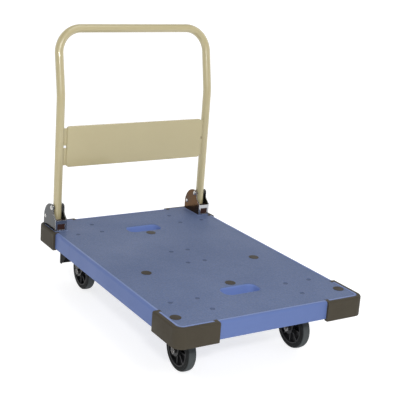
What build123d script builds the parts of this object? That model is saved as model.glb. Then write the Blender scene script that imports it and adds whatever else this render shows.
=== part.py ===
from build123d import *
import math
import os

# Folding platform cart. Millimetres. The floor is z = 0, +Y points to the handle end,
# +X to the right when looking from the open end towards the handle, +Z up.

# ---- driving dimensions ----
DECK_WIDTH = 610.0            # 24 in platform
DECK_LENGTH = 914.0           # 36 in platform
DECK_TOP_Z = 206.0
DECK_DEPTH = 52.0             # height of the moulded rim
WHEEL_DIAMETER = 125.0        # 5 in casters
WHEEL_TRACK_HALF = 196.0
FRONT_PLATE_Y = -305.0
REAR_PLATE_Y = 296.0
HANDLE_HALF_WIDTH = 278.0     # to the centre of each leg
HANDLE_ABOVE_DECK = 656.5     # centre of the top bar
TUBE_RADIUS = 14.0

# ---- deck ----
SKIN = 5.0                    # wall of the rim
TOP_SKIN = 6.0                # thickness of the load face
CORNER_RADIUS = 25.0
TOP_EDGE_RADIUS = 8.0
RIB = 4.0
RIB_DEPTH = 30.0
RIB_PITCH_X = 76.0
RIB_PITCH_Y = 76.0
RIM_BAND = 11.0               # smooth border round the gripping field
FIELD_DROP = 0.6              # the gripping field lies this far below the border
PAD_Z = 158.0                 # underside of the caster pads
PAD_SKIN = 8.0
PAD_SIZE = (126.0, 112.0)
PAD_WALL = 5.0
POCKET_SIZE = (120.0, 53.0)   # grab pockets
POCKET_DEPTH = 38.0
POCKET_WALL = 4.0
POCKET_RADIUS = 20.0
POCKET_EDGE = 4.5             # rounding of the mouth
POCKET_YS = (288.0, -288.0)
PLUG_RADIUS = 16.0
PLUG_SEAT = 3.0
PLUG_PROUD = 0.3
PLUG_STEM_RADIUS = 5.0
PLUG_STEM = 9.0
PLUG_PLACES = [(-275, -390), (275, -390), (-193, -82), (193, -82), (0, -237), (0, 237)]
DIMPLE_RADIUS = 8.0
DIMPLE_DEPTH = 1.2
DIMPLE_PLACES = [                # on one half of the deck
    (152, -300), (152, -378), (238, -300), (30, -51),
    (152, 300), (152, 378), (238, 300), (30, 51),
]

# ---- corner bumpers ----
BUMPER_LEG = 132.0            # reach along each side, from the outer corner
BUMPER_PROUD = 7.0
BUMPER_LET_IN = 5.0
BUMPER_CORNER = 30.0
BUMPER_DROP = 6.0             # reach below the rim
HOOK_LENGTH = 12.0
HOOK_REACH = 10.0
HOOK_DEPTH = 4.0
SCREW_RADIUS = 2.5
SCREW_HEAD_RADIUS = 5.0
SCREW_HEAD = 2.5
SCREW_BITE = 8.0

# ---- hinge brackets ----
PIVOT_Y = 385.0
PIVOT_ABOVE_DECK = 72.0
LOCK_PIN_BEHIND = 49.0        # behind the pivot
LOCK_PIN_BELOW = 41.5         # below the pivot
SHEET = 3.0
CHEEK_GAP = 35.0              # inside width of the channel
CHEEK_CURVE = 60.0            # radius of the cheeks' rear shoulder
CHEEK_BEFORE_PIVOT = 13.0     # the cheeks reach this far round the pivot at the top
FRONT_WALL = 36.0             # height of the channel's front wall
WINDOW = (27.0, 4.0, 24.0)    # width, bottom and top of the opening in it
PIVOT_PIN_RADIUS = 5.0
PIVOT_HEAD = (8.5, 4.5)       # radius and height of a domed head
LOCK_PIN_RADIUS = 4.0
LOCK_HEAD = (6.5, 3.5)
BRACKET_BOLT_YS = (381.0, 411.0)
BRACKET_BOLT_RADIUS = 4.0

# ---- handle ----
LEG_BELOW_PIVOT = 46.0
TUBE_WALL = 1.6
HEEL = (8.0, 13.0)            # how far the end plugs reach behind the legs, and how high
KINK_ABOVE_DECK = 446.0       # the legs bend back above this height
LEAN_BACK = 10.9              # degrees, above the bend
KINK_RADIUS = 150.0
CORNER_BEND = 80.0
PANEL_ABOVE_DECK = 210.0
PANEL_HEIGHT = 136.0
PANEL_HALF_WIDTH = 256.0
PANEL_FACE_Y = 372.0
PANEL_SHEET = 1.5
PANEL_RETURN = 11.0           # depth of the folded edge
PANEL_CORNER = 9.0
TAB_HEIGHT = 58.0
TAB_SPLIT = 8.0
BUSH_RADIUS = 7.5
BUSH_HALF_LENGTH = 17.2

# ---- casters ----
AXLE_Z = WHEEL_DIAMETER / 2
TYRE_WIDTH = 28.0
TYRE_SEAT_RADIUS = 47.0       # outside of the wheel centre
TYRE_SHOULDER = 6.0
HUB_WIDTH = 34.0
HUB_BOSS_RADIUS = 17.0
HUB_WEB = 8.0
HUB_RIM = 5.0
SPOKES = 8
BEARING_RADIUS = 11.0
BEARING_LENGTH = 36.0
AXLE_RADIUS = 5.0
RUNNING_GAP = 0.06            # radial clearance on every pin
FORK_GAP = 38.0               # inside width between the fork legs
FORK_SHEET = 3.0
PLATE_SIZE = (114.0, 100.0)
PLATE_SHEET = 3.0
PLATE_CORNER = 8.0
BOLT_SPACING = (88.0, 76.0)
CASTER_BOLT_RADIUS = 4.0
TRAIL = 35.0                  # swivel axis to axle
SWIVEL_RADIUS = 29.0
BALL_RADIUS = 2.8
BALL_CIRCLE = 21.0
BALL_COUNT = 18
KINGPIN_RADIUS = 6.0
BRAKE_PIN = (80.0, 122.0)     # behind the swivel axis, height
BRAKE_PIN_RADIUS = 3.0
BRAKE_PIN_HEAD = (5.0, 2.5)
PEDAL_HALF_WIDTH = 34.0
PEDAL_LIP_BELOW = 72.0        # the foot plate's lower edge, below its pin
PEDAL_SHEET = 3.0

# ---- worked-out sizes ----
HANDLE_HEIGHT_Z = DECK_TOP_Z + HANDLE_ABOVE_DECK
KINK_Z = DECK_TOP_Z + KINK_ABOVE_DECK
PANEL_BOTTOM_Z = DECK_TOP_Z + PANEL_ABOVE_DECK
DECK_BOTTOM_Z = DECK_TOP_Z - DECK_DEPTH
HALF_W = DECK_WIDTH / 2
HALF_L = DECK_LENGTH / 2
PIVOT_Z = DECK_TOP_Z + PIVOT_ABOVE_DECK
LOCK_Y = PIVOT_Y + LOCK_PIN_BEHIND
LOCK_Z = PIVOT_Z - LOCK_PIN_BELOW
CHEEK_OUT = CHEEK_GAP / 2 + SHEET
BRACKET_FRONT_Y = PIVOT_Y - 35.0
BRACKET_REAR_Y = PIVOT_Y + 63.0
LEG_END_Z = PIVOT_Z - LEG_BELOW_PIVOT
LEAN = math.radians(LEAN_BACK)
TOP_BAR_Y = PIVOT_Y + (HANDLE_HEIGHT_Z - KINK_Z) * math.tan(LEAN)
SIDES = {"left": -1, "right": 1}


def box(x0, x1, y0, y1, z0, z1):
    """A box given by its lowest and highest corners."""
    centre = ((x0 + x1) / 2, (y0 + y1) / 2, (z0 + z1) / 2)
    return Pos(*centre) * Box(x1 - x0, y1 - y0, z1 - z0)


def disc(x, y, z0, z1, radius):
    """An upright cylinder from z0 to z1."""
    return Pos(x, y, (z0 + z1) / 2) * Cylinder(radius, z1 - z0)


def rod_x(x0, x1, y, z, radius):
    """A cylinder along X."""
    return Pos((x0 + x1) / 2, y, z) * Rot(0, 90, 0) * Cylinder(radius, x1 - x0)


def riveted_pin(x, y, z, reach, radius, head):
    """A pin along X with a domed head on both ends; head is its radius and height."""
    head_radius, height = head
    ball = (head_radius**2 + height**2) / (2 * height)
    half_angle = math.asin(head_radius / ball) / 2
    bulge = ball * math.sin(half_angle)
    crest = reach + height - ball * (1 - math.cos(half_angle))
    lower = ThreePointArc((0, -reach - height), (bulge, -crest), (head_radius, -reach))
    neck = Polyline((head_radius, -reach), (radius, -reach), (radius, reach), (head_radius, reach))
    upper = ThreePointArc((head_radius, reach), (bulge, crest), (0, reach + height))
    spine = Line((0, reach + height), (0, -reach - height))
    section = make_face(lower + neck + upper + spine)
    return Pos(x, y, z) * Rot(0, 90, 0) * revolve(Plane.XZ * section, Axis.Z)


def hexagon(x, y, z0, z1, across_flats):
    """An upright hexagonal prism."""
    return Pos(x, y, z0) * extrude(RegularPolygon(across_flats / 2, 6, major_radius=False), z1 - z0)


def hexagon_x(x0, x1, y, z, across_flats):
    """A hexagonal prism along X."""
    prism = extrude(RegularPolygon(across_flats / 2, 6, major_radius=False), x1 - x0)
    return Pos(x0, y, z) * Rot(0, 90, 0) * prism


def plate_yz(points, radii, x0, x1):
    """A flat plate in a plane of constant x, from an outline of (y, z) points with rounded corners."""
    outline = FilletPolyline(*points, radius=radii, close=True)
    face = make_face(outline)
    # the sketch plane's x is the row's +Y and its y is +Z, so its normal is +X
    return Plane(origin=(x0, 0, 0), x_dir=(0, 1, 0), z_dir=(1, 0, 0)) * extrude(face, x1 - x0)


def turned(profile, x, y, z):
    """A wheel-like body turned about an X axis through (x, y, z), from (radius, x offset) points."""
    face = make_face(Polyline(*profile, close=True))
    body = revolve(Plane.XZ * face, Axis.Z)
    return Pos(x, y, z) * Rot(0, 90, 0) * body


def together(parts):
    """One group of separate solids."""
    return Compound(children=list(parts))


def mirror_x(shape):
    return mirror(shape, about=Plane.YZ)


def mirrored_pair(shape):
    return [shape, mirror_x(shape)]


def save(name, shape):
    export_step(shape, f"parts/{name}.step")


# ------------------------------------------------------------------ deck

def caster_places():
    """Centre of each caster plate."""
    for side in SIDES.values():
        for plate_y in (FRONT_PLATE_Y, REAR_PLATE_Y):
            yield side * WHEEL_TRACK_HALF, plate_y


def plate_bolt_places(x, y):
    """The four bolts of one caster plate."""
    for sx in (-1, 1):
        for sy in (-1, 1):
            yield x + sx * BOLT_SPACING[0] / 2, y + sy * BOLT_SPACING[1] / 2


def rounded_slab(width, length, radius, z0, z1):
    return Pos(0, 0, z0) * extrude(RectangleRounded(width, length, radius), z1 - z0)


def deck_ribs(top):
    """A grid of ribs under the load face, left out where the pads and pockets are."""
    inside_w = HALF_W - SKIN
    inside_l = HALF_L - SKIN
    ribs = []
    for n in range(-3, 4):
        x = n * RIB_PITCH_X
        ribs.append(box(x - RIB / 2, x + RIB / 2, -inside_l, inside_l, top - RIB_DEPTH, top))
    for n in range(-5, 6):
        y = n * RIB_PITCH_Y
        ribs.append(box(-inside_w, inside_w, y - RIB / 2, y + RIB / 2, top - RIB_DEPTH, top))
    return ribs


def caster_pad(x, y, top):
    """The platform a caster bolts to: a thick foot on three webs."""
    half_x = PAD_SIZE[0] / 2
    half_y = PAD_SIZE[1] / 2
    pad = box(x - half_x, x + half_x, y - half_y, y + half_y, PAD_Z, PAD_Z + PAD_SKIN)
    for web_x in (x - half_x, x - PAD_WALL / 2, x + half_x - PAD_WALL):
        pad += box(web_x, web_x + PAD_WALL, y - half_y, y + half_y, PAD_Z, top)
    return pad


def pad_clearance(x, y, top):
    """Space around the bolts' nuts, between the webs."""
    half_x = PAD_SIZE[0] / 2 - PAD_WALL
    half_y = PAD_SIZE[1] / 2
    low = PAD_Z + PAD_SKIN
    left = box(x - half_x, x - PAD_WALL / 2, y - half_y, y + half_y, low, top)
    right = box(x + PAD_WALL / 2, x + half_x, y - half_y, y + half_y, low, top)
    return left + right


def bumper_ring(z0, z1):
    """The band that the four bumpers are cut from."""
    proud = 2 * BUMPER_PROUD
    let_in = 2 * BUMPER_LET_IN
    inner_corner = BUMPER_CORNER - BUMPER_PROUD - BUMPER_LET_IN
    outer = rounded_slab(DECK_WIDTH + proud, DECK_LENGTH + proud, BUMPER_CORNER, z0, z1)
    inner = rounded_slab(DECK_WIDTH - let_in, DECK_LENGTH - let_in, inner_corner, z0, z1)
    return outer - inner


def corner_window(sx, sy, z0, z1, extra=0):
    """The part of the plan that one bumper covers, reaching a little further if extra is given."""
    far_x = HALF_W + BUMPER_PROUD + 1
    far_y = HALF_L + BUMPER_PROUD + 1
    near_x = HALF_W + BUMPER_PROUD - BUMPER_LEG - extra
    near_y = HALF_L + BUMPER_PROUD - BUMPER_LEG - extra
    xs = sorted((sx * near_x, sx * far_x))
    ys = sorted((sy * near_y, sy * far_y))
    return box(*xs, *ys, z0, z1)


def bumper_hooks(sx, sy):
    """The two ends that hook over the top edge of the deck."""
    near_x = HALF_W + BUMPER_PROUD - BUMPER_LEG
    near_y = HALF_L + BUMPER_PROUD - BUMPER_LEG
    low = DECK_TOP_Z - HOOK_DEPTH
    in_x = HALF_W - BUMPER_LET_IN - HOOK_REACH
    in_y = HALF_L - BUMPER_LET_IN - HOOK_REACH
    seam = 1.0                     # the hook runs this far into the band
    side_xs = sorted((sx * in_x, sx * (HALF_W - BUMPER_LET_IN + seam)))
    side_ys = sorted((sy * near_y, sy * (near_y + HOOK_LENGTH)))
    end_xs = sorted((sx * near_x, sx * (near_x + HOOK_LENGTH)))
    end_ys = sorted((sy * in_y, sy * (HALF_L - BUMPER_LET_IN + seam)))
    return box(*side_xs, *side_ys, low, DECK_TOP_Z) + box(*end_xs, *end_ys, low, DECK_TOP_Z)


def bumper(sx, sy):
    low = DECK_BOTTOM_Z - BUMPER_DROP
    shape = bumper_ring(low, DECK_TOP_Z) & corner_window(sx, sy, low, DECK_TOP_Z)
    outside = HALF_W + BUMPER_PROUD
    outer_edges = [
        edge for edge in shape.edges()
        if abs(edge.center().Z - DECK_TOP_Z) < 0.01
        and max(abs(edge.center().X) - outside, abs(edge.center().Y) - HALF_L - BUMPER_PROUD) > -0.01
    ]
    bend = [
        edge for edge in shape.edges().filter_by(GeomType.CIRCLE)
        if abs(edge.center().Z - DECK_TOP_Z) < 0.01 and abs(edge.radius - BUMPER_CORNER) < 0.01
    ]
    shape = fillet(outer_edges + bend, 5.5)
    shape += bumper_hooks(sx, sy)
    for x, y, direction in screw_places():
        shape -= screw(x, y, direction)
    return shape


def screw_places():
    """Where the bumpers are screwed on from inside the rim, with the screw's direction."""
    for sx in (-1, 1):
        for sy in (-1, 1):
            yield (sx * (HALF_W - SKIN - BUMPER_LET_IN), sy * (HALF_L - 70), (sx, 0, 0))
            yield (sx * (HALF_W - 70), sy * (HALF_L - SKIN - BUMPER_LET_IN), (0, sy, 0))


def screw(x, y, direction):
    z = (DECK_TOP_Z + DECK_BOTTOM_Z) / 2 - 10
    plane = Plane(origin=(x, y, z), z_dir=direction)
    shank = plane * (Pos(0, 0, (SKIN + SCREW_BITE) / 2) * Cylinder(SCREW_RADIUS, SKIN + SCREW_BITE))
    head = plane * (Pos(0, 0, -SCREW_HEAD / 2) * Cylinder(SCREW_HEAD_RADIUS, SCREW_HEAD))
    return shank + head


def pocket_solid(y, size, radius, z0, z1):
    return Pos(0, y, z0) * extrude(RectangleRounded(size[0], size[1], radius), z1 - z0)


def make_deck():
    top = DECK_TOP_Z - TOP_SKIN
    body = rounded_slab(DECK_WIDTH, DECK_LENGTH, CORNER_RADIUS, DECK_BOTTOM_Z, DECK_TOP_Z)
    rim = [edge for edge in body.edges() if abs(edge.center().Z - DECK_TOP_Z) < 0.01]
    body = fillet(rim, TOP_EDGE_RADIUS)
    width, length = DECK_WIDTH - 2 * SKIN, DECK_LENGTH - 2 * SKIN
    step = 2 * BUMPER_LET_IN
    cavity = rounded_slab(width, length, CORNER_RADIUS - SKIN, DECK_BOTTOM_Z, top)
    # the rim wall steps in behind each bumper, so that it keeps its thickness
    corner_cavity = rounded_slab(width - step, length - step, 12, DECK_BOTTOM_Z, top)
    corners = [corner_window(sx, sy, DECK_BOTTOM_Z, top, SKIN) for sx in (-1, 1) for sy in (-1, 1)]
    for window in corners:
        cavity = cavity - (window - corner_cavity)
    body = body - cavity
    pads = [caster_pad(x, y, top) for x, y in caster_places()]
    clearances = [pad_clearance(x, y, top) for x, y in caster_places()]
    ribs = deck_ribs(top)
    for clearance in clearances:
        ribs = [rib - clearance for rib in ribs]
    wells = []
    for y in POCKET_YS:
        outer_size = (POCKET_SIZE[0] + 2 * POCKET_WALL, POCKET_SIZE[1] + 2 * POCKET_WALL)
        low = DECK_TOP_Z - POCKET_DEPTH - POCKET_WALL
        wells.append(pocket_solid(y, outer_size, POCKET_RADIUS + POCKET_WALL, low, top))
    body = body + ribs + pads + wells
    above = DECK_TOP_Z + 1         # cuts in the load face start here
    for y in POCKET_YS:
        body = body - pocket_solid(y, POCKET_SIZE, POCKET_RADIUS, DECK_TOP_Z - POCKET_DEPTH, above)
    # the gripping field is a hair lower than the smooth border
    field_z = DECK_TOP_Z - FIELD_DROP
    band = 2 * RIM_BAND
    corner = CORNER_RADIUS - RIM_BAND
    field = rounded_slab(DECK_WIDTH - band, DECK_LENGTH - band, corner, field_z, above)
    feet = [bracket_foot(side, field_z, above, 4) for side in SIDES.values()]
    body = body - (field - feet)
    mouths = [
        edge for edge in body.edges()
        if abs(edge.center().Z - field_z) < 0.01
        and abs(edge.center().X) <= POCKET_SIZE[0] / 2 + 0.01
        and abs(abs(edge.center().Y) - POCKET_YS[0]) <= POCKET_SIZE[1] / 2 + 0.01
    ]
    body = fillet(mouths, POCKET_EDGE)
    low_ring = bumper_ring(DECK_BOTTOM_Z - 1, above)
    for sx in (-1, 1):
        for sy in (-1, 1):
            body = body - (low_ring & corner_window(sx, sy, DECK_BOTTOM_Z - 1, above))
            body = body - bumper_hooks(sx, sy)
    for x, y in PLUG_PLACES:
        body = body - disc(x, y, DECK_TOP_Z - PLUG_SEAT, above, PLUG_RADIUS)
        body = body - disc(x, y, DECK_TOP_Z - PLUG_STEM, DECK_TOP_Z, PLUG_STEM_RADIUS)
    dimple = Cone(DIMPLE_RADIUS - 2, DIMPLE_RADIUS, DIMPLE_DEPTH)
    for x, y in DIMPLE_PLACES:
        for side in (-1, 1):
            body = body - Pos(side * x, y, field_z - DIMPLE_DEPTH / 2) * dimple
    for x, y in caster_places():
        for bolt_x, bolt_y in plate_bolt_places(x, y):
            body = body - disc(bolt_x, bolt_y, PAD_Z - 1, PAD_Z + PAD_SKIN + 1, CASTER_BOLT_RADIUS)
    for x, y in bracket_bolt_places():
        body = body - disc(x, y, top - RIB_DEPTH - 1, above, BRACKET_BOLT_RADIUS)
        body = body - disc(x, y, top - RIB_DEPTH - 1, top, 14)
    for x, y, direction in screw_places():
        body = body - screw(x, y, direction)
    return body


def bracket_foot(side, z0, z1, margin):
    x = side * HANDLE_HALF_WIDTH
    reach = CHEEK_OUT + margin
    return box(x - reach, x + reach, BRACKET_FRONT_Y - margin, BRACKET_REAR_Y + margin, z0, z1)


def make_plugs():
    plugs = []
    for x, y in PLUG_PLACES:
        cap = disc(x, y, DECK_TOP_Z - PLUG_SEAT, DECK_TOP_Z + PLUG_PROUD, PLUG_RADIUS)
        cap = fillet(cap.edges().sort_by(Axis.Z)[-1], 0.9)
        plugs.append(cap + disc(x, y, DECK_TOP_Z - PLUG_STEM, DECK_TOP_Z - PLUG_SEAT, PLUG_STEM_RADIUS))
    return together(plugs)


# ------------------------------------------------------------------ hinge brackets

def bracket_bolt_places():
    for side in SIDES.values():
        for y in BRACKET_BOLT_YS:
            yield side * HANDLE_HALF_WIDTH, y


def make_bracket(side):
    """A folded steel channel: a foot, two cheeks and a front wall with a window."""
    x = side * HANDLE_HALF_WIDTH
    low = DECK_TOP_Z
    crown = PIVOT_Z + 12
    brow_y = PIVOT_Y - CHEEK_BEFORE_PIVOT
    outline = [
        (BRACKET_FRONT_Y, low), (BRACKET_REAR_Y, low), (BRACKET_REAR_Y, crown),
        (brow_y, crown), (brow_y, PIVOT_Z - 16), (BRACKET_FRONT_Y, low + FRONT_WALL + 2),
    ]
    radii = [0, 0, CHEEK_CURVE, 11, 14, 4]
    shape = bracket_foot(side, low, low + SHEET, 0)
    for face_x in (x - CHEEK_OUT, x + CHEEK_GAP / 2):
        shape += plate_yz(outline, radii, face_x, face_x + SHEET)
    width, window_low, window_high = WINDOW
    wall_y = BRACKET_FRONT_Y + SHEET
    shape += box(x - CHEEK_OUT, x + CHEEK_OUT, BRACKET_FRONT_Y, wall_y, low, low + FRONT_WALL)
    shape -= box(x - width / 2, x + width / 2, BRACKET_FRONT_Y - 1, wall_y + 1,
                 low + window_low, low + window_high)
    shape -= rod_x(x - CHEEK_OUT - 1, x + CHEEK_OUT + 1, PIVOT_Y, PIVOT_Z, PIVOT_PIN_RADIUS)
    shape -= rod_x(x - CHEEK_OUT - 1, x + CHEEK_OUT + 1, LOCK_Y, LOCK_Z, LOCK_PIN_RADIUS)
    for y in BRACKET_BOLT_YS:
        shape -= disc(x, y, low - 1, low + SHEET + 1, BRACKET_BOLT_RADIUS)
    return shape


def headed_pin(side, y, z, radius, head):
    """A pin through both cheeks with a domed head formed on each end."""
    return riveted_pin(side * HANDLE_HALF_WIDTH, y, z, CHEEK_OUT, radius, head)


def make_stop_blocks():
    """Rubber blocks behind the front walls, which the lower ends of the legs lean on."""
    x = HANDLE_HALF_WIDTH
    y0 = BRACKET_FRONT_Y + SHEET
    y1 = PIVOT_Y - TUBE_RADIUS - 0.3
    width, window_low, window_high = WINDOW
    half = width / 2 - 0.3
    lip = box(x - half, x + half, y0 + 0.6 - SHEET, y0,
              DECK_TOP_Z + window_low + 0.3, DECK_TOP_Z + window_high - 0.3)
    half = CHEEK_GAP / 2 - 0.5
    body = box(x - half, x + half, y0, y1, DECK_TOP_Z + SHEET, DECK_TOP_Z + FRONT_WALL - 2)
    return together(mirrored_pair(body + lip))


def make_backing_plates():
    x = HANDLE_HALF_WIDTH
    top = DECK_TOP_Z - TOP_SKIN
    plates = []
    for y in BRACKET_BOLT_YS:
        washer = disc(x, y, top - 2, top, 12) - disc(x, y, top - 3, top + 1, BRACKET_BOLT_RADIUS)
        plates += mirrored_pair(washer)
    return together(plates)


def make_bracket_bolts():
    bolts = []
    top = DECK_TOP_Z + SHEET
    for x, y in bracket_bolt_places():
        shank = disc(x, y, DECK_TOP_Z - TOP_SKIN - 12, top, BRACKET_BOLT_RADIUS)
        head = disc(x, y, top, top + 3.6, 7.5)
        head = fillet(head.edges().sort_by(Axis.Z)[-1], 2.4)
        socket = hexagon(x, y, top + 1.6, top + 5, 5)
        bolts.append(shank + head - socket)
    return together(bolts)


def make_bracket_nuts():
    nuts = []
    high = DECK_TOP_Z - TOP_SKIN - 2
    for x, y in bracket_bolt_places():
        nut = hexagon(x, y, high - 6.5, high, 13) - disc(x, y, high - 8, high + 1, BRACKET_BOLT_RADIUS)
        nuts.append(nut)
    return together(nuts)


def make_pawl(side):
    """A lock pawl on the lower pin. It hangs down at rest and turns forward to lock the leg's heel."""
    x = side * HANDLE_HALF_WIDTH
    eye_radius = 6.6
    half_width = 9.0
    nose = LOCK_PIN_BEHIND - TUBE_RADIUS - HEEL[0] - 0.4
    body = rod_x(x - CHEEK_GAP / 2 + 0.5, x + CHEEK_GAP / 2 - 0.5, LOCK_Y, LOCK_Z, eye_radius)
    tip_radius = 4.0
    blade = box(x - half_width, x + half_width, LOCK_Y - tip_radius, LOCK_Y + tip_radius,
                LOCK_Z - nose + tip_radius, LOCK_Z)
    blade += rod_x(x - half_width, x + half_width, LOCK_Y, LOCK_Z - nose + tip_radius, tip_radius)
    tab_length = 17.0
    tab_angle = 30.0
    tab = Pos(0, tab_length / 2, 0) * Box(2 * half_width, tab_length, 4)
    pad = rod_x(-half_width, half_width, tab_length - 2, 0, 3.2)
    release = Pos(x, LOCK_Y, LOCK_Z) * Rot(tab_angle, 0, 0) * (tab + pad)
    body = body + blade + release
    return body - rod_x(x - 40, x + 40, LOCK_Y, LOCK_Z, LOCK_PIN_RADIUS + RUNNING_GAP)


# ------------------------------------------------------------------ handle

def bent_path(points, radii):
    """A chain of straight runs joined by tangent arcs, one radius for each inner point."""
    corners = [Vector(*point) for point in points]
    edges = []
    start = corners[0]
    for i, radius in enumerate(radii, 1):
        here = corners[i]
        back = (corners[i - 1] - here).normalized()
        ahead = (corners[i + 1] - here).normalized()
        half_turn = (math.pi - math.radians(back.get_angle(ahead))) / 2
        cut = radius * math.tan(half_turn)
        into = here + back * cut
        out = here + ahead * cut
        middle_way = (back + ahead).normalized()
        centre = here + middle_way * (radius / math.cos(half_turn))
        middle = centre - middle_way * radius
        edges.append(Line(start, into))
        edges.append(ThreePointArc(into, middle, out))
        start = out
    edges.append(Line(start, corners[-1]))
    return Wire([edge for edge in edges])


def handle_points():
    x = HANDLE_HALF_WIDTH
    half = [(x, PIVOT_Y, LEG_END_Z), (x, PIVOT_Y, KINK_Z), (x, TOP_BAR_Y, HANDLE_HEIGHT_Z)]
    other = [(-px, y, z) for px, y, z in reversed(half)]
    return half + other


def make_handle_tube():
    path = bent_path(handle_points(), [KINK_RADIUS, CORNER_BEND, CORNER_BEND, KINK_RADIUS])
    start = Plane(origin=(HANDLE_HALF_WIDTH, PIVOT_Y, LEG_END_Z), z_dir=(0, 0, 1))
    outer = sweep(start * Circle(TUBE_RADIUS), path=path)
    inner = sweep(start * Circle(TUBE_RADIUS - TUBE_WALL), path=path)
    tube = outer - inner
    for side in SIDES.values():
        x = side * HANDLE_HALF_WIDTH
        tube -= rod_x(x - TUBE_RADIUS - 1, x + TUBE_RADIUS + 1, PIVOT_Y, PIVOT_Z, BUSH_RADIUS)
    return tube


def make_end_plugs():
    """Solid fittings in the leg ends. Each has a heel behind the leg for the lock pawl to bear on."""
    x = HANDLE_HALF_WIDTH
    reach, height = HEEL
    cap = 3.0
    spigot = disc(x, PIVOT_Y, LEG_END_Z, LEG_END_Z + 18, TUBE_RADIUS - TUBE_WALL)
    sole = disc(x, PIVOT_Y, LEG_END_Z - cap, LEG_END_Z, TUBE_RADIUS)
    heel_y = PIVOT_Y + TUBE_RADIUS + reach
    heel = box(x - 9, x + 9, PIVOT_Y, heel_y, LEG_END_Z - cap, LEG_END_Z + height - cap)
    heel = fillet(heel.edges().filter_by(Axis.X).sort_by(Axis.Y)[-2:], 2.5)
    heel -= disc(x, PIVOT_Y, LEG_END_Z, LEG_END_Z + height, TUBE_RADIUS)
    return together(mirrored_pair(spigot + sole + heel))


def make_bushes():
    x = HANDLE_HALF_WIDTH
    sleeve = rod_x(x - BUSH_HALF_LENGTH, x + BUSH_HALF_LENGTH, PIVOT_Y, PIVOT_Z, BUSH_RADIUS)
    sleeve -= rod_x(x - 40, x + 40, PIVOT_Y, PIVOT_Z, PIVOT_PIN_RADIUS + RUNNING_GAP)
    return together(mirrored_pair(sleeve))


def make_panel():
    """A sheet steel tray between the legs, with all four edges folded back."""
    centre_z = PANEL_BOTTOM_Z + PANEL_HEIGHT / 2
    width = 2 * PANEL_HALF_WIDTH
    sheets = 2 * PANEL_SHEET
    # the plane's own y axis points down, which the symmetric outline doesn't show
    front = Plane(origin=(0, PANEL_FACE_Y, centre_z), x_dir=(1, 0, 0), z_dir=(0, 1, 0))
    tray = extrude(front * RectangleRounded(width, PANEL_HEIGHT, PANEL_CORNER), PANEL_RETURN)
    tray = fillet(tray.faces().sort_by(Axis.Y)[0].edges(), 2.5)
    inner = RectangleRounded(width - sheets, PANEL_HEIGHT - sheets, PANEL_CORNER - PANEL_SHEET)
    return tray - extrude(front.offset(PANEL_SHEET) * inner, PANEL_RETURN)


def make_tabs():
    """Short steel tabs welded between the panel's ends and the legs."""
    tabs = []
    inner_x = PANEL_HALF_WIDTH
    outer_x = HANDLE_HALF_WIDTH - TUBE_RADIUS + 2
    centre_z = PANEL_BOTTOM_Z + PANEL_HEIGHT / 2
    for direction in (-1, 1):
        z = centre_z + direction * (TAB_SPLIT + TAB_HEIGHT) / 2
        low, high = z - TAB_HEIGHT / 2, z + TAB_HEIGHT / 2
        tab = box(inner_x, outer_x, PANEL_FACE_Y + 5, PANEL_FACE_Y + 8, low, high)
        tab -= disc(HANDLE_HALF_WIDTH, PIVOT_Y, z - TAB_HEIGHT, z + TAB_HEIGHT, TUBE_RADIUS)
        tabs += mirrored_pair(tab)
    return together(tabs)


# ------------------------------------------------------------------ wheels

def make_tyre(x, y):
    half = TYRE_WIDTH / 2
    ring = turned([(TYRE_SEAT_RADIUS, -half), (AXLE_Z, -half), (AXLE_Z, half), (TYRE_SEAT_RADIUS, half)],
                  x, y, AXLE_Z)
    shoulders = [edge for edge in ring.edges().filter_by(GeomType.CIRCLE) if edge.radius > AXLE_Z - 1]
    return fillet(shoulders, TYRE_SHOULDER)


def make_hub(x, y):
    """A moulded wheel centre: a boss, a thin web, a rim under the tyre and stiffening spokes."""
    half = TYRE_WIDTH / 2
    boss = HUB_WIDTH / 2
    rim_inside = TYRE_SEAT_RADIUS - HUB_RIM
    outline = [
        (BEARING_RADIUS, -boss), (HUB_BOSS_RADIUS, -boss), (HUB_BOSS_RADIUS, -HUB_WEB / 2),
        (rim_inside, -HUB_WEB / 2), (rim_inside + 2, -half), (TYRE_SEAT_RADIUS, -half),
        (TYRE_SEAT_RADIUS, half), (rim_inside + 2, half), (rim_inside, HUB_WEB / 2),
        (HUB_BOSS_RADIUS, HUB_WEB / 2), (HUB_BOSS_RADIUS, boss), (BEARING_RADIUS, boss),
    ]
    hub = turned(outline, x, y, AXLE_Z)
    mid = (HUB_BOSS_RADIUS + rim_inside) / 2
    for n in range(SPOKES):
        spoke = Box(TYRE_WIDTH - 6, 4, rim_inside - HUB_BOSS_RADIUS + 3)
        hub += Pos(x, y, AXLE_Z) * Rot(n * 360 / SPOKES, 0, 0) * Pos(0, 0, mid) * spoke
    return hub


def make_bearing(x, y):
    half = BEARING_LENGTH / 2
    sleeve = rod_x(x - half, x + half, y, AXLE_Z, BEARING_RADIUS)
    return sleeve - rod_x(x - half - 1, x + half + 1, y, AXLE_Z, AXLE_RADIUS + RUNNING_GAP)


def make_axle(x, y):
    """A bolt through both fork legs: hexagon head outside, nut inside the cart."""
    side = 1 if x > 0 else -1
    reach = FORK_GAP / 2 + FORK_SHEET
    shank = rod_x(x - reach - 9, x + reach + 9, y, AXLE_Z, AXLE_RADIUS)
    outer = x + side * reach
    far = outer + side * 6
    head = hexagon_x(min(outer, far), max(outer, far), y, AXLE_Z, 16)
    trim_x = sorted((far, far + side * 20))
    return (shank - box(*trim_x, y - 20, y + 20, AXLE_Z - 20, AXLE_Z + 20)) + head


def make_axle_nut(x, y):
    side = 1 if x > 0 else -1
    inner = x - side * (FORK_GAP / 2 + FORK_SHEET)
    xs = sorted((inner, inner - side * 7))
    nut = hexagon_x(*xs, y, AXLE_Z, 16)
    return nut - rod_x(x - 60, x + 60, y, AXLE_Z, AXLE_RADIUS)


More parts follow.
